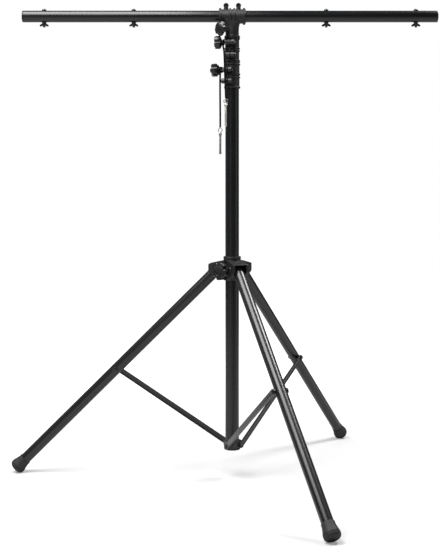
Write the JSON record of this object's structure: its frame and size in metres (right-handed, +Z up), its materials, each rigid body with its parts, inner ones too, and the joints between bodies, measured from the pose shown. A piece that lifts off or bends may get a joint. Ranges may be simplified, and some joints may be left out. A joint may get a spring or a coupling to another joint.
{
  "type": "lighting t bar stand",
  "caption": "Folding tripod lighting stand with a telescoping mast, sliding hub, braced legs and a round cross bar with bolt stations.",
  "frame": {"origin": "on the floor, under the middle of the whole stand's box", "axes": "+Z up the mast, +X along the cross bar to its right hand end, +Y away from the front leg"},
  "size_m": [1.2634, 1.1652, 1.3942],
  "materials": {
    "tube_paint": "satin black powder coat",
    "leg_paint": "satin grey black powder coat",
    "casting": "satin black painted casting",
    "black_plastic": "moulded black plastic, semi gloss on the knobs",
    "wing_plastic": "moulded black plastic",
    "nylon": "black nylon",
    "foot_rubber": "matt black rubber",
    "dark_steel": "black plated steel fasteners",
    "cord": "black coated wire cord",
    "ring_steel": "bright plated steel"
  },
  "bodies": {
    "mast": {"outer_tube": "tube_paint", "lower_housing": "casting", "lower_bush": "nylon", "lower_screw": "black_plastic", "lower_nut": "dark_steel", "base_bracket": "casting", "base_cap": "black_plastic"},
    "hub": {"hub_body": "casting", "hub_collar": "black_plastic", "leg_pin_1": "dark_steel", "leg_pin_2": "dark_steel", "leg_pin_3": "dark_steel"},
    "middle_section": {"middle_tube": "tube_paint", "middle_glide": "nylon", "upper_housing": "casting", "upper_bush": "nylon", "upper_screw": "dark_steel", "upper_nut": "dark_steel"},
    "inner_section": {"inner_tube": "tube_paint", "inner_glide": "nylon"},
    "head": {"head_casting": "casting"},
    "bar": {"bar_tube": "tube_paint", "bar_cap_left": "black_plastic", "bar_cap_right": "black_plastic", "bar_bolt_1": "dark_steel", "bar_bolt_2": "dark_steel", "bar_bolt_3": "dark_steel", "bar_bolt_4": "dark_steel"},
    "hub_knob": {"hub_knob": "black_plastic"},
    "lower_knob": {"lower_knob": "black_plastic"},
    "upper_knob": {"upper_knob": "black_plastic"},
    "head_knob": {"head_knob": "black_plastic"},
    "thumb_screw_left": {"thumb_screw_left": "black_plastic"},
    "thumb_screw_right": {"thumb_screw_right": "black_plastic"},
    "lanyard_1": {"lanyard_cord_1": "cord", "lanyard_ring_1": "ring_steel", "lanyard_pin_1": "ring_steel"},
    "lanyard_2": {"lanyard_cord_2": "cord", "lanyard_ring_2": "ring_steel", "lanyard_pin_2": "ring_steel"},
    "wing_nut_1": {"wing_nut_1": "wing_plastic"},
    "wing_nut_2": {"wing_nut_2": "wing_plastic"},
    "wing_nut_3": {"wing_nut_3": "wing_plastic"},
    "wing_nut_4": {"wing_nut_4": "wing_plastic"},
    "leg_1": {"leg_tube_1": "leg_paint", "leg_foot_1": "foot_rubber", "leg_sleeve_1": "dark_steel"},
    "strut_1": {"strut_bar_1": "leg_paint", "strut_screw_1": "dark_steel"},
    "leg_2": {"leg_tube_2": "leg_paint", "leg_foot_2": "foot_rubber", "leg_sleeve_2": "dark_steel"},
    "strut_2": {"strut_bar_2": "leg_paint", "strut_screw_2": "dark_steel"},
    "leg_3": {"leg_tube_3": "leg_paint", "leg_foot_3": "foot_rubber", "leg_sleeve_3": "dark_steel"},
    "strut_3": {"strut_bar_3": "leg_paint", "strut_screw_3": "dark_steel"}
  },
  "joints": [
    {"name": "hub_slide", "type": "slide", "parent": "mast", "child": "hub", "axis": [0, 0, 1], "range_m": [0, 0.301]},
    {"name": "middle_slide", "type": "slide", "parent": "mast", "child": "middle_section", "axis": [0, 0, 1], "range_m": [0, 0.8]},
    {"name": "inner_slide", "type": "slide", "parent": "middle_section", "child": "inner_section", "axis": [0, 0, 1], "range_m": [0, 0.8]},
    {"name": "head_swivel", "type": "hinge", "parent": "inner_section", "child": "head", "pos_m": [0.02802, 0.03788, 1.3045], "axis": [0, 0, 1], "continuous": true},
    {"name": "bar_slide", "type": "slide", "parent": "head", "child": "bar", "axis": [1, 0, 0], "range_m": [-0.21, 0.21]},
    {"name": "hub_knob_turn", "type": "hinge", "parent": "hub", "child": "hub_knob", "pos_m": [-0.00767, -0.01035, 0.6105], "axis": [-0.5948, -0.8039, 0], "continuous": true},
    {"name": "lower_knob_turn", "type": "hinge", "parent": "mast", "child": "lower_knob", "pos_m": [-0.01922, 0.03122, 1.1963], "axis": [-0.9063, 0.4226, 0], "continuous": true},
    {"name": "upper_knob_turn", "type": "hinge", "parent": "middle_section", "child": "upper_knob", "pos_m": [-0.01162, 0.01973, 1.276], "axis": [-0.9781, 0.2079, 0], "continuous": true},
    {"name": "head_knob_turn", "type": "hinge", "parent": "head", "child": "head_knob", "pos_m": [-0.00592, 0.00394, 1.3145], "axis": [-0.7071, -0.7071, 0], "continuous": true},
    {"name": "thumb_screw_left_turn", "type": "hinge", "parent": "head", "child": "thumb_screw_left", "pos_m": [0.01022, 0.03788, 1.3895], "axis": [0, 0, 1], "continuous": true},
    {"name": "thumb_screw_right_turn", "type": "hinge", "parent": "head", "child": "thumb_screw_right", "pos_m": [0.04662, 0.03788, 1.3895], "axis": [0, 0, 1], "continuous": true},
    {"name": "lanyard_1_swing", "type": "hinge", "parent": "middle_section", "child": "lanyard_1", "pos_m": [0.00305, 0.01661, 1.276], "axis": [0.9781, -0.2079, 0], "range_deg": [-30, 0]},
    {"name": "lanyard_2_swing", "type": "hinge", "parent": "mast", "child": "lanyard_2", "pos_m": [-0.00699, 0.02552, 1.1963], "axis": [0.9063, -0.4226, 0], "range_deg": [-30, 0]},
    {"name": "wing_nut_1_turn", "type": "hinge", "parent": "bar", "child": "wing_nut_1", "pos_m": [-0.52378, 0.03788, 1.3305], "axis": [0, 0, 1], "continuous": true},
    {"name": "wing_nut_2_turn", "type": "hinge", "parent": "bar", "child": "wing_nut_2", "pos_m": [-0.26078, 0.03788, 1.3305], "axis": [0, 0, 1], "continuous": true},
    {"name": "wing_nut_3_turn", "type": "hinge", "parent": "bar", "child": "wing_nut_3", "pos_m": [0.30422, 0.03788, 1.3305], "axis": [0, 0, 1], "continuous": true},
    {"name": "wing_nut_4_turn", "type": "hinge", "parent": "bar", "child": "wing_nut_4", "pos_m": [0.56722, 0.03788, 1.3305], "axis": [0, 0, 1], "continuous": true},
    {"name": "leg_1_fold", "type": "hinge", "parent": "hub", "child": "leg_1", "pos_m": [0.04319, -0.00128, 0.6145], "axis": [0.9325, 0.3611, 0], "range_deg": [0, 39.76]},
    {"name": "strut_1_fold", "type": "hinge", "parent": "mast", "child": "strut_1", "pos_m": [0.03235, 0.02669, 0.0965], "axis": [-0.9325, -0.3611, 0], "range_deg": [0, 46.8]},
    {"name": "leg_2_fold", "type": "hinge", "parent": "hub", "child": "leg_2", "pos_m": [0.05244, 0.07205, 0.6145], "axis": [-0.8136, 0.5814, 0], "range_deg": [0, 39.76]},
    {"name": "strut_2_fold", "type": "hinge", "parent": "mast", "child": "strut_2", "pos_m": [0.03499, 0.04765, 0.0965], "axis": [0.8136, -0.5814, 0], "range_deg": [0, 46.8]},
    {"name": "leg_3_fold", "type": "hinge", "parent": "hub", "child": "leg_3", "pos_m": [-0.01375, 0.04233, 0.6145], "axis": [-0.1059, -0.9944, 0], "range_deg": [0, 39.76]},
    {"name": "strut_3_fold", "type": "hinge", "parent": "mast", "child": "strut_3", "pos_m": [0.01608, 0.03915, 0.0965], "axis": [0.1059, 0.9944, 0], "range_deg": [0, 46.8]}
  ],
  "couplings": [
    {"joint": "leg_1_fold", "follows": "hub_slide", "rad_per_m": 2.3045},
    {"joint": "strut_1_fold", "follows": "hub_slide", "rad_per_m": 2.7123},
    {"joint": "leg_2_fold", "follows": "hub_slide", "rad_per_m": 2.3045},
    {"joint": "strut_2_fold", "follows": "hub_slide", "rad_per_m": 2.7123},
    {"joint": "leg_3_fold", "follows": "hub_slide", "rad_per_m": 2.3045},
    {"joint": "strut_3_fold", "follows": "hub_slide", "rad_per_m": 2.7123}
  ]
}
